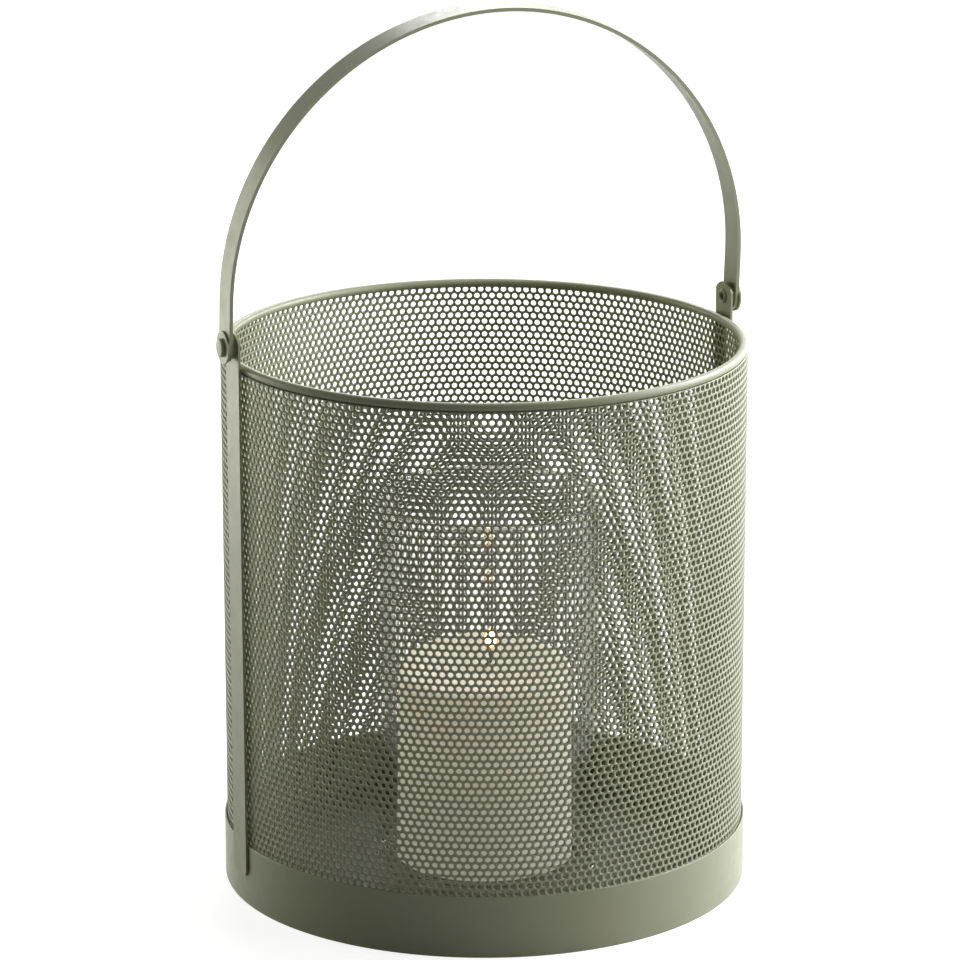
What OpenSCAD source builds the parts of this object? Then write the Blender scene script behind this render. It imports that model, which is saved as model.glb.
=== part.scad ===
// Candle lantern: a perforated metal cylinder on a base band, with a round wire rim,
// two side straps, a swinging strip handle on rivets, and a glass with a pillar candle.
// The part stands on z = 0, its axis is the Z axis, and the handle turns about an X axis.

/* [Shell] */
// Outside diameter of the perforated cylinder
shell_d = 230; // [160:1:320]
// Thickness of the perforated sheet
shell_t = 1; // [0.6:0.1:1.6]
// Height of the body, from the surface it stands on to the top of the rim
body_h = 243.5; // [200:0.5:320]
// Diameter of the round wire that makes the rim
rim_wire_d = 4; // [3:0.1:7]

/* [Openwork] */
// Number of openings around the wall, which stand for its fine perforation
opening_columns = 24; // [12:2:24]
// Number of rows of openings, from the band up to the rim
opening_rows = 7; // [3:1:7]
// Width of the metal beside, above and below each opening
web_w = 9; // [4:0.5:12]

/* [Base] */
// Height of the band around the foot
band_h = 27.5; // [16:0.5:60]
// Thickness of the band
band_t = 0.8; // [0.5:0.1:2]
// Radial gap between the perforated cylinder and the band
band_gap = 0.3; // [0.1:0.05:1]
// Height of the floor plate's underside above the band's lower edge
floor_lift = 1; // [0:0.1:6]
// Thickness of the floor plate
floor_t = 1; // [0.6:0.1:3]

/* [Straps] */
// Width of each side strap
strap_w = 15; // [12:0.5:26]
// Thickness of each side strap
strap_t = 1; // [0.8:0.1:2]
// Height of the strap's lower end above the band's lower edge
strap_foot_z = 13; // [2:0.5:16]
// Radius of the two lower corners of a strap
strap_corner_r = 3.5; // [0.5:0.25:5]
// Radius of the arc that ends the ear, larger than half the strap's width
ear_arc_r = 9.5; // [8:0.25:16]
// Height of the ear's top above the pivot
ear_top = 6.5; // [5:0.25:12]

/* [Handle] */
// Height of the pivots above the top of the rim
pivot_rise = 7.5; // [6:0.5:20]
// Width of the handle's strip
handle_w = 12.5; // [10:0.5:22]
// Thickness of the handle's strip
handle_t = 1.6; // [1:0.1:3]
// Length of the straight part of each leg, above its pivot
handle_leg = 20; // [10:1:60]
// Lean of the handle from upright as it stands, towards the front
handle_lean = 4; // [-30:1:30]

/* [Rivets and washers] */
// Diameter of the rivet's shank
rivet_d = 4.8; // [3:0.1:6]
// Diameter of the rivet's domed head
rivet_head_d = 8.2; // [7:0.1:10]
// Height of the rivet's domed head
rivet_head_h = 1.8; // [1:0.1:3]
// Diameter of the rivet's rolled tail
rivet_tail_d = 6.4; // [5.6:0.1:8]
// Length of the rolled tail inside the ear
rivet_tail_h = 1.1; // [0.6:0.1:2]
// Diameter of the hole in the rivet's tail
rivet_bore_d = 3.2; // [1.6:0.1:4]
// Depth of the hole in the rivet's tail
rivet_bore_h = 4; // [1:0.5:5]
// Diameter of the washer outside the handle
outer_washer_d = 14.2; // [9:0.1:20]
// Thickness of the washer outside the handle
outer_washer_t = 0.8; // [0.5:0.1:2]
// Diameter of the washer between the handle and the ear
inner_washer_d = 10.5; // [8:0.1:15]
// Thickness of the washer between the handle and the ear
inner_washer_t = 1.8; // [0.8:0.1:3]

/* [Glass] */
// Outside diameter of the glass
glass_d = 102; // [88:1:140]
// Height of the glass
glass_h = 170; // [110:1:190]
// Thickness of the glass wall
glass_wall = 3; // [1.5:0.5:5]
// Thickness of the glass base
glass_base = 4; // [2:0.5:10]
// Share of the play around the candle by which the loose glass stands off the middle
glass_off_share = 0.25; // [0:0.01:0.9]
// Compass angle that the glass stands off towards
glass_turn = -24; // [-180:1:180]

/* [Candle] */
// Diameter of the candle
candle_d = 78; // [50:1:80]
// Height of the candle
candle_h = 87; // [40:1:100]
// Radius of the hollow that the flame has melted in the top
pool_r = 33; // [10:1:36]
// Depth of that hollow
pool_depth = 2; // [0.5:0.5:6]
// Diameter of the wick
wick_d = 2; // [1:0.25:4]
// Length of the wick's upright part above the hollow
wick_stem = 2.5; // [1:0.5:8]
// Diameter of the wick's charred tip
wick_tip_d = 1.6; // [0.8:0.1:2]
// Length of the wick's charred tip
wick_tip = 6.5; // [2:0.5:12]
// Angle of the tip from upright
wick_bend = 22; // [0:1:60]
// Compass angle that the tip points to
wick_turn = -24; // [-180:1:180]

/* [Hidden] */
$fn = 96;

// Overrun of every cut past the faces it goes through
cut = 1;
// Radial clearance of the handle on the rivet's shank
pivot_clearance = 0.1;
// Radial clearance of the ear and the washers on the rivet's shank
rivet_clearance = 0.05;
// Side clearance of the handle's strip to each washer
pivot_play = 0.1;

// Shell and rim
shell_r = shell_d / 2;
rim_wire_r = rim_wire_d / 2;
rim_r = shell_r - rim_wire_r;
rim_z = body_h - rim_wire_r;
// The sheet's inner top edge touches the underside of the wire
seat_reach = rim_wire_r - shell_t;
shell_top = rim_z - sqrt(rim_wire_r * rim_wire_r - seat_reach * seat_reach);

// Openwork: the openings are cut in pairs, right through the wall, with a web behind each strap
opening_w = PI * shell_d / opening_columns - web_w;
opening_rise = (shell_top - band_h - web_w) / opening_rows;
opening_h = opening_rise - web_w;

// Base
band_in_r = shell_r + band_gap;
band_r = band_in_r + band_t;
floor_z = floor_lift + floor_t;

// Stations along the pivot axis, from the strap outwards
strap_x = band_r;
ear_x = strap_x + strap_t;
leg_x = ear_x + inner_washer_t + pivot_play;
leg_out_x = leg_x + handle_t;
washer_x = leg_out_x + pivot_play;
head_x = washer_x + outer_washer_t;
tail_x = strap_x - rivet_tail_h;
pivot_z = body_h + pivot_rise;
ear_top_z = pivot_z + ear_top;

// Radius of the sphere that a cap of this base radius and height belongs to
function cap_sphere_r(base_r, h) = (base_r * base_r + h * h) / (2 * h);

// Glass and candle
glass_r = glass_d / 2;
glass_off = glass_off_share * (glass_r - glass_wall - candle_d / 2);
candle_z = floor_z + glass_base;
candle_top_z = candle_z + candle_h;
pool_floor_z = candle_top_z - pool_depth;
pool_sphere_r = cap_sphere_r(pool_r, pool_depth);

// Colours
paint = [0.50, 0.52, 0.43];
dark_paint = [0.40, 0.42, 0.34];
wax = [0.93, 0.90, 0.80];
char_black = [0.12, 0.10, 0.09];
clear_glass = [0.80, 0.88, 0.88, 0.35];

// Turns a shape drawn along +Z so that it lies along +X at the pivots' height
module along_pivot(x) {
    translate([x, 0, pivot_z]) rotate([0, 90, 0]) children();
}

// Gives the left-hand copy of a right-hand piece
module left() {
    mirror([1, 0, 0]) children();
}

// A tube standing on z
module tube(r_out, r_in, z, h) {
    translate([0, 0, z]) difference() {
        cylinder(r = r_out, h = h);
        translate([0, 0, -cut]) cylinder(r = r_in, h = h + 2 * cut);
    }
}

// A flat ring on the pivot axis
module pivot_washer(d, t, x) {
    along_pivot(x) difference() {
        cylinder(d = d, h = t);
        translate([0, 0, -cut]) cylinder(r = rivet_d / 2 + rivet_clearance, h = t + 2 * cut);
    }
}

// Hoop around the foot
module base_band() {
    color(paint) tube(band_r, band_in_r, 0, band_h);
}

// Round plate that closes the foot and carries the shell and the glass
module floor_plate() {
    color(dark_paint) translate([0, 0, floor_lift]) cylinder(r = band_in_r, h = floor_t);
}

// One pair of opposite openings in a row, the first of them half a step from the X axis
module opening_pair(column, row) {
    rotate([0, 0, (column + 1 / 2) * 360 / opening_columns])
        translate([-shell_r - cut, -opening_w / 2, band_h + web_w + row * opening_rise])
            cube([2 * (shell_r + cut), opening_w, opening_h]);
}

// Rolled sheet that makes the wall, with a coarse grid of openings
module perforated_shell() {
    color(paint) difference() {
        tube(shell_r, shell_r - shell_t, floor_z, shell_top - floor_z);
        for (column = [0 : opening_columns / 2 - 1], row = [0 : opening_rows - 1])
            opening_pair(column, row);
    }
}

// Round wire hoop on top of the wall
module top_rim() {
    color(paint) translate([0, 0, rim_z]) rotate_extrude() translate([rim_r, 0]) circle(r = rim_wire_r);
}

// Outline of a strap: rounded lower corners, an arc over the ear and the rivet hole
module strap_outline() {
    difference() {
        union() {
            translate([-strap_w / 2, strap_foot_z + strap_corner_r])
                square([strap_w, pivot_z - strap_foot_z - strap_corner_r]);
            translate([strap_corner_r - strap_w / 2, strap_foot_z])
                square([strap_w - 2 * strap_corner_r, pivot_z - strap_foot_z]);
            for (side = [-1, 1])
                translate([side * (strap_w / 2 - strap_corner_r), strap_foot_z + strap_corner_r])
                    circle(r = strap_corner_r);
            intersection() {
                translate([-strap_w / 2, pivot_z - strap_w / 2]) square([strap_w, strap_w / 2 + ear_top]);
                translate([0, ear_top_z - ear_arc_r]) circle(r = ear_arc_r);
            }
        }
        translate([0, pivot_z]) circle(r = rivet_d / 2 + rivet_clearance);
    }
}

module strap() {
    translate([strap_x, 0, 0]) rotate([90, 0, 90]) linear_extrude(strap_t) strap_outline();
}

module strap_right() {
    color(paint) strap();
}

module strap_left() {
    color(paint) left() strap();
}

// Semi-tubular rivet: domed head outside, shank through the pivot, rolled tail inside
module rivet() {
    head_r = rivet_head_d / 2;
    sphere_r = cap_sphere_r(head_r, rivet_head_h);
    difference() {
        union() {
            along_pivot(head_x) intersection() {
                translate([0, 0, rivet_head_h - sphere_r]) sphere(r = sphere_r);
                cylinder(r = head_r, h = rivet_head_h);
            }
            along_pivot(tail_x) cylinder(d = rivet_d, h = head_x - tail_x);
            along_pivot(tail_x) cylinder(d1 = rivet_bore_d + rivet_tail_h, d2 = rivet_tail_d, h = rivet_tail_h / 2);
            along_pivot(tail_x + rivet_tail_h / 2) cylinder(d = rivet_tail_d, h = rivet_tail_h / 2);
        }
        along_pivot(tail_x - cut) cylinder(d = rivet_bore_d, h = rivet_bore_h + cut);
    }
}

module rivet_right() {
    color(paint) rivet();
}

module rivet_left() {
    color(paint) left() rivet();
}

module outer_washer_right() {
    color(paint) pivot_washer(outer_washer_d, outer_washer_t, washer_x);
}

module outer_washer_left() {
    color(paint) left() pivot_washer(outer_washer_d, outer_washer_t, washer_x);
}

module inner_washer_right() {
    color(dark_paint) pivot_washer(inner_washer_d, inner_washer_t, ear_x);
}

module inner_washer_left() {
    color(dark_paint) left() pivot_washer(inner_washer_d, inner_washer_t, ear_x);
}

// One leg of the handle: straight strip with a round end about its rivet hole
module handle_leg_plate() {
    translate([leg_x, 0, 0]) rotate([90, 0, 90]) linear_extrude(handle_t) difference() {
        union() {
            translate([-handle_w / 2, 0]) square([handle_w, handle_leg]);
            circle(d = handle_w);
        }
        circle(r = rivet_d / 2 + pivot_clearance);
    }
}

// Upper half of a ring, drawn flat
module half_ring(r_out, r_in) {
    difference() {
        circle(r = r_out);
        circle(r = r_in);
        translate([-r_out - cut, -r_out - cut]) square([2 * (r_out + cut), r_out + cut]);
    }
}

// Flat strip bent to an arch, leaning about the pivots
module handle() {
    color(paint) translate([0, 0, pivot_z]) rotate([handle_lean, 0, 0]) {
        handle_leg_plate();
        left() handle_leg_plate();
        translate([0, handle_w / 2, handle_leg]) rotate([90, 0, 0])
            linear_extrude(handle_w) half_ring(leg_out_x, leg_x);
    }
}

// Straight glass with a flat base, which stands loose and lifts out
module glass_cylinder() {
    color(clear_glass) rotate([0, 0, glass_turn]) translate([glass_off, 0, floor_z]) difference() {
        cylinder(r = glass_r, h = glass_h);
        translate([0, 0, glass_base]) cylinder(r = glass_r - glass_wall, h = glass_h);
    }
}

// Pillar candle with a melted hollow and the wick's channel
module candle() {
    color(wax) difference() {
        translate([0, 0, candle_z]) cylinder(d = candle_d, h = candle_h);
        translate([0, 0, pool_floor_z + pool_sphere_r]) sphere(r = pool_sphere_r);
        translate([0, 0, candle_z - cut]) cylinder(d = wick_d, h = candle_h + 2 * cut);
    }
}

// Wick: runs through the candle, stands out of the hollow and curls over
module wick() {
    stem_top = pool_floor_z + wick_stem;
    color(char_black) {
        translate([0, 0, candle_z]) cylinder(d = wick_d, h = stem_top - candle_z);
        translate([0, 0, stem_top - wick_tip_d / 2]) rotate([0, wick_bend, wick_turn])
            cylinder(d = wick_tip_d, h = wick_tip + wick_tip_d / 2);
    }
}

base_band();
floor_plate();
perforated_shell();
top_rim();
strap_left();
strap_right();
rivet_left();
rivet_right();
outer_washer_left();
outer_washer_right();
inner_washer_left();
inner_washer_right();
handle();
glass_cylinder();
candle();
wick();
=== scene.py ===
"""The looks of a candle lantern: perforated sheet, painted metal, glass, wax and flame."""

import math

import bpy
import numpy as np
from mathutils import Euler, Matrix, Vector


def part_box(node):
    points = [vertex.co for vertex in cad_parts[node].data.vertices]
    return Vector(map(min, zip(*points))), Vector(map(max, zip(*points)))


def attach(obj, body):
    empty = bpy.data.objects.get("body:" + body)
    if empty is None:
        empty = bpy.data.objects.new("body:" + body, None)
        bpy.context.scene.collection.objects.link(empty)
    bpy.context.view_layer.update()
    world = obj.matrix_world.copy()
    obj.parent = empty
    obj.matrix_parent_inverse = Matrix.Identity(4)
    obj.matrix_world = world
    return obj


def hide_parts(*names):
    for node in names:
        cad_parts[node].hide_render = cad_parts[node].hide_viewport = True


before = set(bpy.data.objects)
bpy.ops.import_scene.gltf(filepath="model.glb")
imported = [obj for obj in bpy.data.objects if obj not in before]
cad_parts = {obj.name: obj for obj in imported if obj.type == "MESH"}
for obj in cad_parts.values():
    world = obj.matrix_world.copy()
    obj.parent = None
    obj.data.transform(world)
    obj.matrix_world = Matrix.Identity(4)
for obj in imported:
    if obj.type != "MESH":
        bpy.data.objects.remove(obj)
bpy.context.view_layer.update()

MM = 0.001
UP = Vector((0, 0, 1))
WHITE = (1, 1, 1)


# Sizes read from the parts' boxes in model.glb, and the thicknesses that these boxes don't show

wall_low, wall_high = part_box("perforated_shell")
band_low, band_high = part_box("base_band")
rim_low, rim_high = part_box("top_rim")
glass_low, glass_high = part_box("glass_cylinder")
candle_low, candle_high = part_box("candle")

WALL_R = wall_high.x
WALL_T = 1.0 * MM
BAND_R = band_high.x
BAND_T = 0.8 * MM
RIM_WIRE_R = (rim_high.z - rim_low.z) / 2
RIM_R = rim_high.x - RIM_WIRE_R
RIM_Z = rim_high.z - RIM_WIRE_R
GLASS_R = (glass_high.x - glass_low.x) / 2
GLASS_X = (glass_high.x + glass_low.x) / 2
GLASS_Y = (glass_high.y + glass_low.y) / 2
GLASS_WALL = 3 * MM
GLASS_BASE = 4 * MM
CANDLE_R = candle_high.x

# The camera, in metres and degrees: it stands in front, to the left, and looks a little down

CAMERA_SIDE = -23.5
CAMERA_REACH = 1.96166
CAMERA_HEIGHT = 0.72741
CAMERA_AZIMUTH = -23.46
CAMERA_PITCH = 15.62
CAMERA_ROLL = 0.05
CAMERA_CLIP = 200
LENS_MM = 173.77
SENSOR_MM = 36


# Mesh helpers

def add_piece(name, points, faces, body, material, nodes=(), crease=40):
    """A smooth mesh piece with sharp edges past the crease angle, riding on a body."""
    mesh = bpy.data.meshes.new(name)
    mesh.from_pydata(np.asarray(points).tolist(), [], faces)
    mesh.polygons.foreach_set("use_smooth", [True] * len(mesh.polygons))
    mesh.set_sharp_from_angle(angle=math.radians(crease))
    piece = bpy.data.objects.new(name, mesh)
    bpy.context.scene.collection.objects.link(piece)
    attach(piece, body)
    if nodes:
        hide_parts(*nodes)
    piece.data.materials.append(material)
    return piece


def fillet(corners, radius, steps=5):
    """A closed outline with each corner (x, y) rounded to the radius."""
    rounded = []
    for before, corner, after in zip(corners[-1:] + corners[:-1], corners, corners[1:] + corners[:1]):
        corner = Vector(corner)
        back = (Vector(before) - corner).normalized()
        ahead = (Vector(after) - corner).normalized()
        half = back.angle(ahead) / 2
        middle = corner + (back + ahead).normalized() * radius / math.sin(half)
        start = corner + back * radius / math.tan(half) - middle
        end = corner + ahead * radius / math.tan(half) - middle
        for step in range(steps + 1):
            rounded.append(tuple(middle + start.slerp(end, step / steps) * radius))
    return rounded


def turned_points(profile, segments, axis=(0, 0)):
    """The points of a profile of (radius, height) pairs turned about an upright axis."""
    profile = np.asarray(profile, float)
    angle = np.arange(segments) * math.tau / segments
    radius = profile[:, 0][None, :]
    x = radius * np.cos(angle)[:, None] + axis[0]
    y = radius * np.sin(angle)[:, None] + axis[1]
    z = np.broadcast_to(profile[:, 1], x.shape)
    return np.stack([x, y, z], -1).reshape(-1, 3)


def turned_faces(count, segments, closed=True):
    """The faces between the turns of a profile of count points. An open profile is capped."""
    steps = count if closed else count - 1
    faces = []
    for turn in range(segments):
        here = turn * count
        there = (turn + 1) % segments * count
        for step in range(steps):
            following = (step + 1) % count
            faces.append((here + step, there + step, there + following, here + following))
    if not closed:
        ring = [turn * count for turn in range(segments)]
        faces.append(tuple(reversed(ring)))
        faces.append(tuple(first + count - 1 for first in ring))
    return faces


# Shader helpers

def new_material(name):
    """A material with its node tree and its Principled shader."""
    material = bpy.data.materials.new(name)
    material.use_nodes = True
    tree = material.node_tree
    shader = tree.nodes["Principled BSDF"]
    return material, tree, shader


def bare_material(name):
    """A material with nothing in its node tree but the output, and the output's surface."""
    material = bpy.data.materials.new(name)
    material.use_nodes = True
    tree = material.node_tree
    tree.nodes.clear()
    output = tree.nodes.new("ShaderNodeOutputMaterial")
    return material, tree, output.inputs["Surface"]


def add_node(tree, kind, **values):
    """A node whose inputs take the values given by name."""
    node = tree.nodes.new(kind)
    for name, value in values.items():
        node.inputs[name.replace("_", " ")].default_value = value
    return node


def noise(tree, scale, detail=2.0, roughness=0.5):
    """Noise in the object's own coordinates."""
    place = tree.nodes.new("ShaderNodeTexCoord")
    node = add_node(tree, "ShaderNodeTexNoise", Scale=scale, Detail=detail, Roughness=roughness)
    tree.links.new(place.outputs["Object"], node.inputs["Vector"])
    return node.outputs["Fac"]


def height_in(tree, coordinates):
    """The height of the shaded point, in Object or Generated coordinates."""
    place = tree.nodes.new("ShaderNodeTexCoord")
    split = tree.nodes.new("ShaderNodeSeparateXYZ")
    tree.links.new(place.outputs[coordinates], split.inputs[0])
    return split.outputs["Z"]


def spread(tree, value, low, high, start=0.3, end=0.7):
    """Maps a value from start..end to low..high."""
    node = add_node(tree, "ShaderNodeMapRange", From_Min=start, From_Max=end, To_Min=low, To_Max=high)
    tree.links.new(value, node.inputs["Value"])
    return node.outputs["Result"]


def larger(tree, first, second):
    """The larger one of two values."""
    node = tree.nodes.new("ShaderNodeMath")
    node.operation = "MAXIMUM"
    tree.links.new(first, node.inputs[0])
    tree.links.new(second, node.inputs[1])
    return node.outputs[0]


def two_colours(tree, factor, first, second):
    """A colour between the first and the second."""
    node = tree.nodes.new("ShaderNodeMix")
    node.data_type = "RGBA"
    node.inputs["A"].default_value = (*first, 1)
    node.inputs["B"].default_value = (*second, 1)
    tree.links.new(factor, node.inputs["Factor"])
    return node.outputs["Result"]


def two_shaders(tree, factor, first, second):
    """A shader between the first and the second."""
    node = tree.nodes.new("ShaderNodeMixShader")
    tree.links.new(factor, node.inputs["Fac"])
    tree.links.new(first, node.inputs[1])
    tree.links.new(second, node.inputs[2])
    return node.outputs["Shader"]


def see_through(tree, colour):
    """A shader that lets light straight through."""
    return add_node(tree, "ShaderNodeBsdfTransparent", Color=(*colour, 1)).outputs["BSDF"]


def bump(tree, shader, height, strength, distance):
    """Raises the shader's surface by a height."""
    node = add_node(tree, "ShaderNodeBump", Strength=strength, Distance=distance)
    tree.links.new(height, node.inputs["Height"])
    tree.links.new(node.outputs["Normal"], shader.inputs["Normal"])


# Materials

SAGE = (0.268, 0.280, 0.168)
SAGE_DEEP = (0.248, 0.260, 0.152)
# Painted shade: the floor plate's paint is made far darker than the wall's, for the little light that
# reaches it through the holes
SHADED_PLATE = (0.120, 0.126, 0.080)
SHADED_PLATE_DEEP = (0.095, 0.100, 0.062)
ORANGE_PEEL = 0.05 * MM


def painted_metal(name, deep, pale):
    """Satin paint with faint mottling and orange peel."""
    material, tree, shader = new_material(name)
    mottle = spread(tree, noise(tree, scale=38, detail=4, roughness=0.6), low=0, high=1)
    tree.links.new(two_colours(tree, mottle, deep, pale), shader.inputs["Base Color"])
    matt = spread(tree, noise(tree, scale=210, detail=3), low=0.33, high=0.43)
    tree.links.new(matt, shader.inputs["Roughness"])
    shader.inputs["Specular IOR Level"].default_value = 0.35
    bump(tree, shader, noise(tree, scale=1500, detail=2), strength=0.12, distance=ORANGE_PEEL)
    return material


GLASS_TINT = (0.87, 0.87, 0.83)
# What lamps and soft light keep on their way through the glass
GLASS_CLEAR = (0.96, 0.97, 0.96)
GLASS_WAVES = 0.3 * MM
# At a slant and in the heel, a share of the light goes straight through instead of being bent.
# The slant is the Facing value of Layer Weight, from where the share starts to where it is full.
SLANT_START = 0.48
SLANT_FULL = 0.66
SLANT_SHARE = 0.85
HEEL_SHARE = 0.6
HEEL_FADE = 3 * MM


def clear_glass():
    """Clear glass with a faint waviness, which lets lamps through."""
    material, tree, shader = new_material("clear_glass")
    shader.inputs["Base Color"].default_value = (*GLASS_TINT, 1)
    shader.inputs["Transmission Weight"].default_value = 1
    shader.inputs["IOR"].default_value = 1.5
    matt = spread(tree, noise(tree, scale=60, detail=3), low=0.01, high=0.03)
    tree.links.new(matt, shader.inputs["Roughness"])
    bump(tree, shader, noise(tree, scale=24, detail=1), strength=0.15, distance=GLASS_WAVES)
    facing = tree.nodes.new("ShaderNodeLayerWeight").outputs["Facing"]
    slant = spread(tree, facing, 0, SLANT_SHARE, SLANT_START, SLANT_FULL)
    heel_z = glass_low.z + GLASS_BASE
    heel = spread(tree, height_in(tree, "Object"), HEEL_SHARE, 0, heel_z, heel_z + HEEL_FADE)
    straight = see_through(tree, GLASS_TINT)
    seen = two_shaders(tree, larger(tree, slant, heel), shader.outputs["BSDF"], straight)
    path = tree.nodes.new("ShaderNodeLightPath")
    passing = larger(tree, path.outputs["Is Shadow Ray"], path.outputs["Is Diffuse Ray"])
    whole = two_shaders(tree, passing, seen, see_through(tree, GLASS_CLEAR))
    tree.links.new(whole, tree.nodes["Material Output"].inputs["Surface"])
    return material


WAX = (0.84, 0.81, 0.73)
WAX_DEEP = (0.80, 0.77, 0.68)
# How far light spreads in the wax, and the share of that for each colour
WAX_SCATTER = 12 * MM
WAX_SCATTER_SHARES = (1.0, 0.9, 0.8)
WAX_GRAIN = 0.1 * MM
# Painted light in the wax, an emission that stands in for the flame's light and brightens the candle's
# shaded sides: its colour low down and at the top, and how far down it fades
WAX_PAINTED_LIGHT_LOW = (0.30, 0.285, 0.245)
WAX_PAINTED_LIGHT_HIGH = (0.34, 0.285, 0.215)
WAX_PAINTED_LIGHT_REACH = 70 * MM


def candle_wax():
    """Ivory wax with painted light: a glow that stands in for the flame's light and brightens its shaded
    sides.
    """
    material, tree, shader = new_material("ivory_wax")
    mottle = spread(tree, noise(tree, scale=45, detail=4), low=0, high=1)
    tree.links.new(two_colours(tree, mottle, WAX_DEEP, WAX), shader.inputs["Base Color"])
    matt = spread(tree, noise(tree, scale=120, detail=2), low=0.55, high=0.7)
    tree.links.new(matt, shader.inputs["Roughness"])
    shader.inputs["Subsurface Weight"].default_value = 1
    shader.inputs["Subsurface Radius"].default_value = WAX_SCATTER_SHARES
    shader.inputs["Subsurface Scale"].default_value = WAX_SCATTER
    painted_light_z = candle_high.z - WAX_PAINTED_LIGHT_REACH
    lit = spread(tree, height_in(tree, "Object"), 0, 1, painted_light_z, candle_high.z)
    warm = two_colours(tree, lit, WAX_PAINTED_LIGHT_LOW, WAX_PAINTED_LIGHT_HIGH)
    # Painted light: this emission is not a lamp, it stands in for light falling on the wax
    tree.links.new(warm, shader.inputs["Emission Color"])
    shader.inputs["Emission Strength"].default_value = 1
    bump(tree, shader, noise(tree, scale=300, detail=3), strength=0.2, distance=WAX_GRAIN)
    return material


CHAR = (0.06, 0.045, 0.035)
CHAR_DEEP = (0.012, 0.010, 0.009)
CHAR_GRAIN = 0.3 * MM


def charred_cotton():
    """Burnt wick."""
    material, tree, shader = new_material("charred_cotton")
    burnt = two_colours(tree, noise(tree, scale=900, detail=3), CHAR_DEEP, CHAR)
    tree.links.new(burnt, shader.inputs["Base Color"])
    shader.inputs["Roughness"].default_value = 0.9
    bump(tree, shader, noise(tree, scale=1800, detail=3), strength=0.8, distance=CHAR_GRAIN)
    return material


# Perforated wall

HOLES_ROUND = 206
HOLE_D = 2.5 * MM
HOLE_SIDES = 10
HOLE_PITCH = math.tau * WALL_R / HOLES_ROUND
HALF_PITCH = HOLE_PITCH / 2
HALVES = 2 * HOLES_ROUND
ROW_STEP = HOLE_PITCH * math.sqrt(3) / 2
ROW_COUNT = int((wall_high.z - wall_low.z) / ROW_STEP)
LENGTH_COUNT = 5
# Radius of the polygon that is as large as the round hole
HOLE_CORNER_R = HOLE_D / 2 * math.sqrt(math.tau / (HOLE_SIDES * math.sin(math.tau / HOLE_SIDES)))
# Shading stays smooth over the holes' edges, as paint rounds them
HOLE_CREASE = 120

# The flat map has the outside in its lower half and the inside in its upper half.
# A thin strip above each half holds a cut end.
MAP_HEIGHT_SHARE = 2.1
MAP_INSIDE = 0.5
MAP_TOP_STRIP = 0.488
MAP_FOOT_STRIP = 0.992
MAP_STRIP_HEIGHT = 0.004
# Share of a hole's radius that the inner edge of its side keeps on the flat map
MAP_HOLE_SHARE = 0.4

# The corners of one cell: its top left, middle and right, its bottom ones, and the hole
TL, TM, TR, BL, BM, BR = range(6)
FIRST = 6
CELL_FACES = [
    (TM, TL, FIRST + 1, FIRST), (TL, FIRST + 2, FIRST + 1), (TL, BL, FIRST + 3, FIRST + 2),
    (BL, FIRST + 4, FIRST + 3), (BL, BM, FIRST + 5, FIRST + 4), (BM, BR, FIRST + 6, FIRST + 5),
    (BR, FIRST + 7, FIRST + 6), (BR, TR, FIRST + 8, FIRST + 7), (TR, FIRST + 9, FIRST + 8),
    (TR, TM, FIRST, FIRST + 9)
]


def pairs(along, height):
    """Places (along, height) on the flat sheet, from two arrays of any matching shapes."""
    return np.stack(np.broadcast_arrays(along, height), -1)


def centre_halves(first_row, row_count):
    """Where each hole's centre is along its row, in half pitches. Every second row is shifted by one."""
    row = np.arange(row_count)[:, None]
    return 2 * np.arange(HOLES_ROUND) + (first_row + row) % 2 + 1


def sheet_places(first_row, row_count):
    """Places on the flat sheet: points on the lines between rows, hole centres and hole corners."""
    line_z = wall_high.z - ROW_STEP * np.arange(first_row, first_row + row_count + 1)
    if first_row + row_count == ROW_COUNT:
        line_z[-1] = wall_low.z
    row_z = wall_high.z - ROW_STEP * (np.arange(first_row, first_row + row_count) + 0.5)
    lines = pairs(np.arange(HALVES) * HALF_PITCH, line_z[:, None])
    centres = pairs(centre_halves(first_row, row_count) * HALF_PITCH, row_z[:, None])
    angle = math.pi / 2 + math.tau / HOLE_SIDES * np.arange(HOLE_SIDES)
    along = centres[..., :1] + HOLE_CORNER_R * np.cos(angle)
    height = centres[..., 1:] + HOLE_CORNER_R * np.sin(angle)
    return lines, centres, pairs(along, height)


def cell_table(first_row, row_count):
    """A table in which each row holds the numbers of one cell's points: its corners, then its hole."""
    centre_half = centre_halves(first_row, row_count)
    around = [(centre_half + side) % HALVES for side in (-1, 0, 1)]
    top = np.arange(row_count)[:, None] * HALVES
    corners = [top + a for a in around] + [top + HALVES + a for a in around]
    hole_numbers = np.arange(row_count * HOLES_ROUND * HOLE_SIDES)
    ring = (row_count + 1) * HALVES + hole_numbers.reshape(row_count, HOLES_ROUND, HOLE_SIDES)
    return np.concatenate([np.stack(corners, -1), ring], -1).reshape(-1, FIRST + HOLE_SIDES)


def cell_maps(flat, cells, centres, top_z, foot_z):
    """Each cell's points on the flat map: outside, inside, and the inner edge of its hole's side."""
    around = HOLES_ROUND * HOLE_PITCH
    centre = centres.reshape(-1, 1, 2)
    place = flat[cells]
    # No cell wraps round on the map
    turns = np.round((place[..., :1] - centre[..., :1]) / around)
    place = place - np.concatenate([turns, np.zeros_like(turns)], -1) * around
    low = (0, foot_z)
    span = ((HOLES_ROUND + 1) * HOLE_PITCH, MAP_HEIGHT_SHARE * (top_z - foot_z))
    outer_map = (place - low) / span
    inner_map = outer_map + (0, MAP_INSIDE)
    sunk_map = (centre + (place - centre) * MAP_HOLE_SHARE - low) / span
    return outer_map, inner_map, sunk_map


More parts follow.
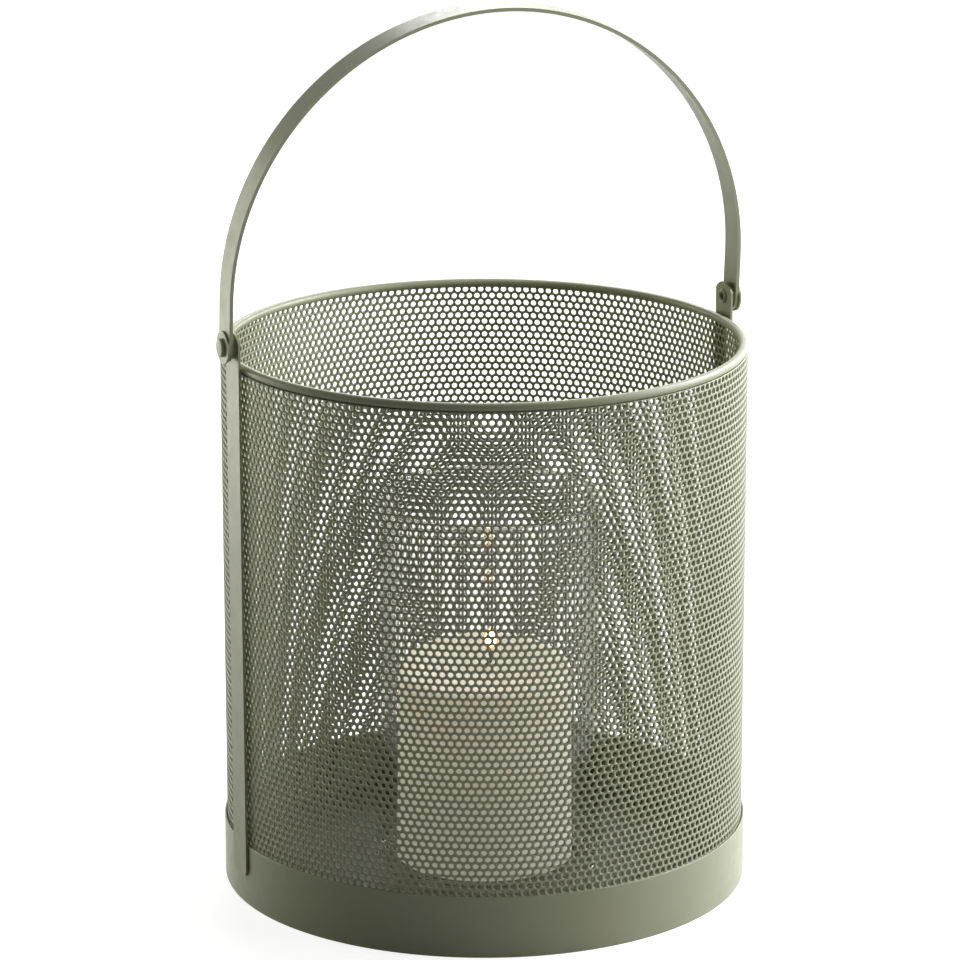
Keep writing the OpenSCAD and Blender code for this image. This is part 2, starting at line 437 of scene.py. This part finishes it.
def sheet_faces(cells, count, maps):
    """Faces of the outside, the inside and the holes' sides, each with its place on the map."""
    outer_map, inner_map, sunk_map = maps
    faces, places = [], []
    for corner in CELL_FACES:
        back = corner[::-1]
        faces += [cells[:, corner], count + cells[:, back]]
        places += [outer_map[:, corner], inner_map[:, back]]
    for side in range(HOLE_SIDES):
        a = FIRST + side
        b = FIRST + (side + 1) % HOLE_SIDES
        faces.append(np.stack([cells[:, a], cells[:, b], count + cells[:, b], count + cells[:, a]], -1))
        places.append(np.stack([outer_map[:, a], outer_map[:, b], sunk_map[:, b], sunk_map[:, a]], 1))
    return faces, places


def end_faces(row_count, count):
    """Faces of the two cut ends, each with its place on the map."""
    here = np.arange(HALVES)
    after = (here + 1) % HALVES
    bottom = row_count * HALVES
    faces, places = [], []
    for a, b, level in ((here, after, MAP_TOP_STRIP), (bottom + after, bottom + here, MAP_FOOT_STRIP)):
        faces.append(np.stack([a, b, count + b, count + a], -1))
        strip = np.stack([here, here + 1, here + 1, here], -1) / (HALVES + 2)
        rise = level + MAP_STRIP_HEIGHT * np.array([0, 0, 1, 1])
        places.append(pairs(strip, rise))
    return faces, places


def wall_length(first_row, row_count):
    """Points, faces and map of one length of the wall: rows of round holes in a thick sheet."""
    lines, centres, holes = sheet_places(first_row, row_count)
    flat = np.concatenate([lines.reshape(-1, 2), holes.reshape(-1, 2)])
    cells = cell_table(first_row, row_count)
    maps = cell_maps(flat, cells, centres, top_z=lines[0, 0, 1], foot_z=lines[-1, 0, 1])
    faces, places = sheet_faces(cells, len(flat), maps)
    more_faces, more_places = end_faces(row_count, len(flat))
    turn = flat[:, 0] / WALL_R
    points = np.concatenate([
        np.stack([r * np.cos(turn), r * np.sin(turn), flat[:, 1]], -1) for r in (WALL_R, WALL_R - WALL_T)
    ])
    face_list = [face for group in faces + more_faces for face in group.tolist()]
    map_list = np.concatenate([group.reshape(-1, 2) for group in places + more_places])
    return points, face_list, map_list


def perforated_wall(paint):
    """The wall, in a few lengths from the top down whose cut ends meet in the solid webs."""
    cuts = np.linspace(0, ROW_COUNT, LENGTH_COUNT + 1).round().astype(int)
    for number, (first, last) in enumerate(zip(cuts[:-1], cuts[1:]), 1):
        points, faces, flat_map = wall_length(int(first), int(last - first))
        piece = add_piece(
            f"perforated_wall_{number}", points, faces, "body", paint,
            ["perforated_shell"], HOLE_CREASE
        )
        layer = piece.data.uv_layers.new(name="OFBake")
        layer.data.foreach_set("uv", flat_map.astype(np.float32).ravel())


# Base band and rim

HOOP_SEGMENTS = 720
BAND_EDGE_R = 0.38 * MM
# Longest step between the points of the band's outline
BAND_STEP = 1.0 * MM
# Spot welds on the band: angles round the axis, how far below its top, radius and depth
WELD_ANGLES = (-112.1, -40, 32, 104, 176)
WELD_DROP = 2.4 * MM
WELD_R = 1.9 * MM
WELD_DEPTH = 0.16 * MM
RIM_SIDES = 28
# The bead of the rim's weld: its angle round the axis, half its length and its height
RIM_WELD_ANGLE = 59.2
RIM_WELD_HALF = 1.6 * MM
RIM_WELD_RISE = 0.22 * MM


def sunk(points, centre, radius, depth):
    """Presses a round dimple towards the Z axis into the points near a centre."""
    offset = np.linalg.norm(points - np.array(centre), axis=1) / radius
    share = np.clip(1 - offset**2, 0, 1) ** 2
    outward = points * (1, 1, 0)
    outward /= np.linalg.norm(outward, axis=1)[:, None]
    return points - outward * (share * depth)[:, None]


def base_band(paint):
    """Hoop with soft edges and small spot-weld dimples near its top."""
    r_in = BAND_R - BAND_T
    corners = [(r_in, band_low.z), (BAND_R, band_low.z), (BAND_R, band_high.z), (r_in, band_high.z)]
    outline = fillet(corners, BAND_EDGE_R)
    dense = []
    for a, b in zip(outline, outline[1:] + outline[:1]):
        steps = max(1, round((Vector(b) - Vector(a)).length / BAND_STEP))
        dense += [tuple(Vector(a).lerp(Vector(b), step / steps)) for step in range(steps)]
    points = turned_points(dense, HOOP_SEGMENTS)
    for degrees in WELD_ANGLES:
        angle = math.radians(degrees)
        centre = (BAND_R * math.cos(angle), BAND_R * math.sin(angle), band_high.z - WELD_DROP)
        points = sunk(points, centre, WELD_R, WELD_DEPTH)
    faces = turned_faces(len(dense), HOOP_SEGMENTS)
    add_piece("band_hoop", points, faces, "body", paint, ["base_band"])


def top_rim(paint):
    """Round wire hoop with the small bead of its butt weld."""
    circle = [
        (RIM_R + RIM_WIRE_R * math.cos(a), RIM_Z + RIM_WIRE_R * math.sin(a))
        for a in np.arange(RIM_SIDES) * math.tau / RIM_SIDES
    ]
    points = turned_points(circle, HOOP_SEGMENTS)
    turn = np.arctan2(points[:, 1], points[:, 0])
    off = np.angle(np.exp(1j * (turn - math.radians(RIM_WELD_ANGLE)))) * RIM_R
    rise = RIM_WELD_RISE * np.exp(-((off / RIM_WELD_HALF) ** 2))
    core = np.stack([RIM_R * np.cos(turn), RIM_R * np.sin(turn), np.full(len(turn), RIM_Z)], -1)
    away = (points - core) / RIM_WIRE_R
    # The bead is dressed flush on the outside and on top, where it would stand out of the hoop's box
    outside = np.clip(np.hypot(points[:, 0], points[:, 1]) - RIM_R, 0, None)
    free = np.clip(1 - outside / RIM_WIRE_R, 0, 1)
    free *= np.clip(1 - (points[:, 2] - RIM_Z) / RIM_WIRE_R, 0, 1)
    points = points + away * (rise * free)[:, None]
    faces = turned_faces(RIM_SIDES, HOOP_SEGMENTS)
    add_piece("rim_hoop", points, faces, "body", paint, ["top_rim"])


# Width of the soft edge on each plain metal node
SOFT_EDGES = {
    "strap_left": 0.28 * MM, "strap_right": 0.28 * MM, "handle": 0.35 * MM, "floor_plate": 0.2 * MM,
    "outer_washer_left": 0.22 * MM, "outer_washer_right": 0.22 * MM,
    "inner_washer_left": 0.25 * MM, "inner_washer_right": 0.25 * MM
}
# Edges sharper than this many degrees are softened
SOFT_ANGLE = 50


def soften_nodes(paint, plate_painted_shade):
    """Gives the plain metal nodes their paint and soft edges."""
    for name, width in SOFT_EDGES.items():
        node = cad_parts[name]
        node.data.materials.clear()
        # The floor plate takes the darker paint, whose darkness is painted shade
        node.data.materials.append(plate_painted_shade if name == "floor_plate" else paint)
        bevel = node.modifiers.new("soft_edges", "BEVEL")
        bevel.width = width
        bevel.segments = 3
        bevel.limit_method = "ANGLE"
        bevel.angle_limit = math.radians(SOFT_ANGLE)
        bevel.harden_normals = True


# Rivets

HEAD_R = 4.1 * MM
HEAD_H = 1.8 * MM
HEAD_EDGE = 0.9 * MM
HEAD_CROWN = 0.2 * MM
HEAD_UNDERCUT = 0.1 * MM
SHANK_R = 2.4 * MM
TAIL_R = 3.4 * MM
TAIL_H = 1.1 * MM
BORE_R = 1.6 * MM
BORE_DEPTH = 3 * MM
# Radius of the small flat that closes a rivet on its axis
RIVET_TIP_R = 0.05 * MM
RIVET_SEGMENTS = 48


def rivet_profile(length):
    """Pairs of radius and place along the rivet, from the middle of its head to its bore's bottom."""
    flat_r = HEAD_R - HEAD_EDGE
    profile = [(RIVET_TIP_R, 0), (0.5 * flat_r, -0.25 * HEAD_CROWN), (flat_r, -HEAD_CROWN)]
    profile += [
        (flat_r + HEAD_EDGE * math.sin(a), -HEAD_CROWN - HEAD_EDGE * (1 - math.cos(a)))
        for a in np.linspace(0, math.pi / 2, 7)[1:]
    ]
    profile += [(HEAD_R - HEAD_UNDERCUT, -HEAD_H), (SHANK_R, -HEAD_H), (SHANK_R, TAIL_H - length)]
    middle, half = (TAIL_R + BORE_R) / 2, (TAIL_R - BORE_R) / 2
    profile += [
        (middle + half * math.cos(a), TAIL_H - length - TAIL_H * math.sin(a))
        for a in np.linspace(0, math.pi, 14)
    ]
    return profile + [(BORE_R, BORE_DEPTH - length), (RIVET_TIP_R, BORE_DEPTH - length)]


def rivets(paint):
    """Rivets with a full rounded head outside and a rolled tail inside."""
    for side, name in ((1, "rivet_right"), (-1, "rivet_left")):
        low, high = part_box(name)
        profile = rivet_profile(high.x - low.x)
        turned = turned_points(profile, RIVET_SEGMENTS)
        pivot_z = (low.z + high.z) / 2
        head_x = max(abs(low.x), abs(high.x))
        points = np.stack([side * (head_x + turned[:, 2]), turned[:, 0], pivot_z + turned[:, 1]], -1)
        faces = turned_faces(len(profile), RIVET_SEGMENTS, closed=False)
        if side > 0:
            faces = [tuple(reversed(face)) for face in faces]
        add_piece(f"{name}_body", points, faces, "body", paint, [name], crease=50)


# Glass

GLASS_EDGE_R = 1.2 * MM
GLASS_EDGE_STEPS = 6
GLASS_HEEL_R = 2.5 * MM
# Radius of the small flat that closes the glass on its axis
GLASS_TIP_R = 0.2 * MM
GLASS_SEGMENTS = 192


def glass_cylinder(glass):
    """Straight glass with a fire-polished rim and a rounded heel."""
    foot = glass_low.z
    floor_z = foot + GLASS_BASE
    r_in = GLASS_R - GLASS_WALL
    corners = [(GLASS_R, foot), (GLASS_R, glass_high.z), (r_in, glass_high.z), (r_in, floor_z)]
    # The first three corners are taken as they are, and the inner one has a larger radius
    rounded = fillet(corners, GLASS_EDGE_R, GLASS_EDGE_STEPS)[: 3 * (GLASS_EDGE_STEPS + 1)]
    heel = [
        (r_in - GLASS_HEEL_R * (1 - math.cos(a)), floor_z + GLASS_HEEL_R * (1 - math.sin(a)))
        for a in np.linspace(0, math.pi / 2, 7)
    ]
    profile = [(GLASS_TIP_R, foot)] + rounded + heel + [(GLASS_TIP_R, floor_z)]
    points = turned_points(profile, GLASS_SEGMENTS, (GLASS_X, GLASS_Y))
    faces = turned_faces(len(profile), GLASS_SEGMENTS, closed=False)
    add_piece("glass_tube", points, faces, "glass", glass, ["glass_cylinder"])


# Candle and wick

POOL_R = 33 * MM
POOL_DEPTH = 2 * MM
# The candle's foot stands this far off the glass, so that their faces don't coincide
CANDLE_REST = 0.05 * MM
CANDLE_EDGE = 1.2 * MM
# Height of the first ring of the candle's side above its foot
SIDE_START = 5 * MM
SHOULDER_R = 1.6 * MM
# The top edge has sunk a little unevenly: by how much, how unevenly, and how far down
SAG = 0.45 * MM
SAG_WAVER = 0.4 * MM
SAG_REACH = 6 * MM
# Radius of the small flat that closes the candle on its axis
CANDLE_TIP_R = 0.5 * MM
CANDLE_SEGMENTS = 160


def candle_profile(low, high):
    """Pairs of radius and height, from the middle of the foot to the middle of the melted hollow."""
    profile = [(CANDLE_TIP_R, low), (CANDLE_R - CANDLE_EDGE, low), (CANDLE_R, low + CANDLE_EDGE)]
    profile += [(CANDLE_R, z) for z in np.linspace(low + SIDE_START, high - SHOULDER_R, 12)]
    profile += [
        (CANDLE_R - SHOULDER_R * (1 - math.cos(a)), high - SHOULDER_R * (1 - math.sin(a)))
        for a in np.linspace(0.2, math.pi / 2, 6)
    ]
    profile += [
        (POOL_R * share, high - POOL_DEPTH * (1 - share**2) ** 1.5)
        for share in np.linspace(1, 0, 16)[:-1]
    ]
    return profile + [(CANDLE_TIP_R, high - POOL_DEPTH)]


def candle(wax):
    """Pillar candle with a soft shoulder and a shallow melted hollow."""
    high = candle_high.z
    profile = candle_profile(candle_low.z + CANDLE_REST, high)
    points = turned_points(profile, CANDLE_SEGMENTS)
    turn = np.arctan2(points[:, 1], points[:, 0])
    near_top = np.clip((points[:, 2] - (high - SAG_REACH)) / SAG_REACH, 0, 1) ** 2
    waver = 0.35 * np.cos(turn * 2 + 0.7) + 0.2 * np.cos(turn * 3 - 1.1) + 0.1 * np.cos(turn * 7)
    points[:, 2] -= near_top * (SAG + SAG_WAVER * waver)
    faces = turned_faces(len(profile), CANDLE_SEGMENTS, closed=False)
    add_piece("pillar_candle", points, faces, "candle", wax, ["candle"], crease=55)


def tube(path, radii, sides):
    """Points and faces of a tube along a path, with a radius at each of its points."""
    points = []
    for number, (place, radius) in enumerate(zip(path, radii)):
        ahead = Vector(path[min(number + 1, len(path) - 1)]) - Vector(path[max(number - 1, 0)])
        turn = ahead.to_track_quat("Z", "X")
        for side in range(sides):
            a = math.tau * side / sides
            points.append(Vector(place) + turn @ Vector((radius * math.cos(a), radius * math.sin(a), 0)))
    faces = []
    for ring in range(len(path) - 1):
        for side in range(sides):
            after = (side + 1) % sides
            a, b = ring * sides, (ring + 1) * sides
            faces.append((a + side, a + after, b + after, b + side))
    faces.append(tuple(reversed(range(sides))))
    faces.append(tuple(range(len(points) - sides, len(points))))
    return [tuple(p) for p in points], faces


WICK_R = 0.95 * MM
WICK_TURN = math.radians(-24)
WICK_SIDES = 14
# The wick's bends: reach to the side and rise above the hollow's floor, in mm
WICK_BENDS = [(0, -2), (0.1, 0), (2.1, 2), (3.0, 4), (2.6, 6), (2.2, 8), (2.6, 9.4)]


def smooth_path(places, steps):
    """A smooth curve through the places, which leaves and meets them straight on."""
    places = [Vector(place) for place in places]
    ends = [places[0] * 2 - places[1]] + places + [places[-1] * 2 - places[-2]]
    path = []
    for a, b, c, d in zip(ends, ends[1:], ends[2:], ends[3:]):
        for step in range(steps):
            t = step / steps
            squared = (a * 2 - b * 5 + c * 4 - d) * t**2
            cubed = (b * 3 - a - c * 3 + d) * t**3
            path.append((b * 2 + (c - a) * t + squared + cubed) / 2)
    return path + [places[-1]]


def wick(char):
    """Burnt wick that curls to the side and back, and swells near its tip. Gives its tip's place."""
    foot = candle_high.z - POOL_DEPTH
    places = [
        (reach * MM * math.cos(WICK_TURN), reach * MM * math.sin(WICK_TURN), foot + rise * MM)
        for reach, rise in WICK_BENDS
    ]
    path = smooth_path(places, 5)
    shares = np.linspace(0, 1, len(path))
    radii = WICK_R * (1 - 0.3 * shares + 0.22 * shares**6 + 0.05 * np.sin(17 * shares))
    radii[-1] = WICK_R * 0.4
    points, faces = tube([tuple(place) for place in path], radii, WICK_SIDES)
    add_piece("burnt_wick", points, faces, "candle", char, ["wick"], crease=60)
    return path[-1]


# Flame

FLAME_H = 8.4 * MM
FLAME_R = 2.7 * MM
# Height of the flame's foot below the wick's tip
FLAME_DROP = 0.4 * MM
FLAME_STRENGTH = 26
FLAME_FOOT_COLOUR = (1.0, 0.40, 0.10)
FLAME_COLOUR = (1.0, 0.82, 0.48)
FLAME_TIP_COLOUR = (1.0, 0.55, 0.18)
# Share of the flame's height at which it has its middle colour
FLAME_COLOUR_SHARE = 0.4
# The thin glow round the flame: how far it stands out, and how much further it does so at its tip
GLOW_SPREAD = 0.9 * MM
GLOW_TIP_SHARE = 1.4
GLOW_COLOUR = (1.0, 0.42, 0.12)
GLOW_STRENGTH = 1.6
# How much of what is behind it the glow hides, low down and at its tip
GLOW_SHARE = 0.55
GLOW_TIP_HIDES = 0.15
# Smallest radius of a teardrop, at its ends
DROP_END_R = 0.02 * MM
DROP_STEPS = 22
DROP_SIDES = 24


def flame_core():
    """Flame: orange at its foot and tip, yellow-white in the middle."""
    material, tree, surface = bare_material("flame_core")
    ramp = tree.nodes.new("ShaderNodeValToRGB")
    ramp.color_ramp.elements[0].color = (*FLAME_FOOT_COLOUR, 1)
    ramp.color_ramp.elements[1].color = (*FLAME_TIP_COLOUR, 1)
    middle = ramp.color_ramp.elements.new(FLAME_COLOUR_SHARE)
    middle.color = (*FLAME_COLOUR, 1)
    tree.links.new(height_in(tree, "Generated"), ramp.inputs["Fac"])
    light = add_node(tree, "ShaderNodeEmission", Strength=FLAME_STRENGTH)
    tree.links.new(ramp.outputs["Color"], light.inputs["Color"])
    tree.links.new(light.outputs["Emission"], surface)
    return material


def flame_glow():
    """The flame's thin orange edge, which thins out upwards."""
    material, tree, surface = bare_material("flame_glow")
    share = spread(tree, height_in(tree, "Generated"), GLOW_SHARE, GLOW_TIP_HIDES, start=0.3, end=1.0)
    light = add_node(tree, "ShaderNodeEmission", Color=(*GLOW_COLOUR, 1), Strength=GLOW_STRENGTH)
    thin = two_shaders(tree, share, see_through(tree, WHITE), light.outputs["Emission"])
    tree.links.new(thin, surface)
    return material


def teardrop(name, foot, height, radius, material):
    """An upright teardrop standing on its foot."""
    path, radii = [], []
    for step in range(DROP_STEPS + 1):
        share = step / DROP_STEPS
        path.append(tuple(foot + UP * height * share))
        swell = math.sin(math.pi * share**0.7) ** 0.8
        radii.append(max(DROP_END_R, radius * swell))
    points, faces = tube(path, radii, DROP_SIDES)
    piece = add_piece(name, points, faces, "candle", material, crease=80)
    # The flame lights nothing; its light on the wax is painted light, in the wax's own glow
    piece.visible_diffuse = False


def flame(tip):
    """Small flame round the wick's tip, with its glow."""
    foot = tip - UP * FLAME_DROP
    teardrop("flame", foot, FLAME_H, FLAME_R, flame_core())
    glow_foot = foot - UP * GLOW_SPREAD
    glow_h = FLAME_H + (1 + GLOW_TIP_SHARE) * GLOW_SPREAD
    teardrop("flame_edge", glow_foot, glow_h, FLAME_R + GLOW_SPREAD, flame_glow())


# Floor, backdrop, lamps and camera

def shown_white(tree, plain, white):
    """A shader that is plain for the light that falls on things, and pale for what looks at it."""
    path = tree.nodes.new("ShaderNodeLightPath")
    looking = larger(tree, path.outputs["Is Camera Ray"], path.outputs["Is Glossy Ray"])
    looking = larger(tree, looking, path.outputs["Is Transmission Ray"])
    return two_shaders(tree, looking, plain, white)


FLOOR_SIDE = 60.0
# The floor lies this far below the lantern's foot, so that their faces don't coincide
FLOOR_DROP = 0.02 * MM
# Paleness of the floor for the light that it throws back onto the lantern
FLOOR_BOUNCE = 0.4
# What looks at the floor sees its own light, near and far from the lantern, and a matt share of the lamps'
FLOOR_PALE = 0.80
FLOOR_PALE_FAR = 1.0
FLOOR_MATT = 0.5
NEAR_REACH = 0.35
FAR_REACH = 1.1


def grey(level):
    """A grey with full opacity."""
    return (level, level, level, 1)


def floor_plane():
    """A large square just below the lantern."""
    mesh = bpy.data.meshes.new("floor")
    half = FLOOR_SIDE / 2
    corners = [(-half, -half), (half, -half), (half, half), (-half, half)]
    mesh.from_pydata([(x, y, -FLOOR_DROP) for x, y in corners], [], [(0, 1, 2, 3)])
    plane = bpy.data.objects.new("floor", mesh)
    bpy.context.scene.collection.objects.link(plane)
    return plane


def floor():
    """A large pale floor, which keeps the lantern's shadow."""
    plane = floor_plane()
    material, tree, shader = new_material("floor")
    shader.inputs["Base Color"].default_value = grey(FLOOR_BOUNCE)
    shader.inputs["Roughness"].default_value = 0.9
    shader.inputs["Specular IOR Level"].default_value = 0.1
    place = tree.nodes.new("ShaderNodeTexCoord")
    away = tree.nodes.new("ShaderNodeVectorMath")
    away.operation = "LENGTH"
    tree.links.new(place.outputs["Object"], away.inputs[0])
    paleness = spread(tree, away.outputs["Value"], FLOOR_PALE, FLOOR_PALE_FAR, NEAR_REACH, FAR_REACH)
    pale = add_node(tree, "ShaderNodeEmission", Color=grey(1))
    tree.links.new(paleness, pale.inputs["Strength"])
    matt = add_node(tree, "ShaderNodeBsdfDiffuse", Color=grey(FLOOR_MATT))
    both = tree.nodes.new("ShaderNodeAddShader")
    tree.links.new(pale.outputs[0], both.inputs[0])
    tree.links.new(matt.outputs[0], both.inputs[1])
    shown = shown_white(tree, shader.outputs["BSDF"], both.outputs[0])
    tree.links.new(shown, tree.nodes["Material Output"].inputs["Surface"])
    plane.data.materials.append(material)


ROOM_LEVEL = 0.02


def room():
    """Faint even light from all round, in front of a white backdrop."""
    world = bpy.data.worlds.new("room")
    bpy.context.scene.world = world
    world.use_nodes = True
    tree = world.node_tree
    even = tree.nodes["Background"]
    even.inputs["Color"].default_value = grey(1)
    even.inputs["Strength"].default_value = ROOM_LEVEL
    white = add_node(tree, "ShaderNodeBackground", Color=grey(1), Strength=1)
    shown = shown_white(tree, even.outputs[0], white.outputs[0])
    tree.links.new(shown, tree.nodes["World Output"].inputs["Surface"])


# The point that the lamps face, their usual distance from it and the side of a usual lamp, in metres
AIM = Vector((0, 0, 0.15))
LAMP_REACH = 1.6
LAMP_SIDE = 0.7
# Light a little blue, and light a little yellow
COOL = (1.0, 1.0, 1.12)
WARM = (1.0, 1.0, 0.86)


def softbox(name, side, elevation, power, colour=WHITE, reach=LAMP_REACH, width=LAMP_SIDE, height=LAMP_SIDE):
    """A soft lamp, side degrees to the right of the camera as seen from the lantern."""
    data = bpy.data.lights.new(name, "AREA")
    data.shape = "RECTANGLE"
    data.size, data.size_y = width, height
    data.energy = power
    data.color = colour
    lamp = bpy.data.objects.new(name, data)
    bpy.context.scene.collection.objects.link(lamp)
    turn = math.radians(CAMERA_SIDE + side)
    rise = math.radians(elevation)
    away = Vector((math.sin(turn) * math.cos(rise), -math.cos(turn) * math.cos(rise), math.sin(rise)))
    lamp.location = AIM + away * reach
    lamp.rotation_mode = "QUATERNION"
    lamp.rotation_quaternion = away.to_track_quat("Z", "Y")


def lamps():
    """Strong cool light from the right, weak warm light from the left, and some from behind and above."""
    softbox("right_front_box", 74, 12, 10, COOL)
    softbox("right_box", 100, 12, 16.5, COOL)
    softbox("right_back_box", 138, 12, 9, COOL)
    softbox("high_right_box", 110, 40, 4.5, COOL, reach=0.6, width=0.3, height=0.3)
    softbox("back_box", 180, 35, 10)
    softbox("left_box", -118, 8, 1.6, WARM, reach=0.62, width=0.35, height=0.45)
    softbox("left_front_box", -98, 12, 2.6, WARM)
    softbox("top_box", 0, 88, 3)


def camera():
    """The photograph's view."""
    data = bpy.data.cameras.new("camera")
    data.lens = LENS_MM
    data.sensor_width = SENSOR_MM
    data.clip_end = CAMERA_CLIP
    seen = bpy.data.objects.new("camera", data)
    bpy.context.scene.collection.objects.link(seen)
    turn = math.radians(CAMERA_SIDE)
    seen.location = (CAMERA_REACH * math.sin(turn), -CAMERA_REACH * math.cos(turn), CAMERA_HEIGHT)
    angles = (90 - CAMERA_PITCH, CAMERA_ROLL, CAMERA_AZIMUTH)
    seen.rotation_euler = Euler([math.radians(a) for a in angles])
    bpy.context.scene.camera = seen


camera()
floor()
room()
lamps()

paint = painted_metal("sage_paint", SAGE_DEEP, SAGE)
perforated_wall(paint)
base_band(paint)
top_rim(paint)
# The floor plate's paint is darkened by painted shade
soften_nodes(paint, painted_metal("plate_painted_shade", SHADED_PLATE_DEEP, SHADED_PLATE))
rivets(paint)
glass_cylinder(clear_glass())
candle(candle_wax())
flame(wick(charred_cotton()))

bpy.context.scene.view_settings.view_transform = "Standard"
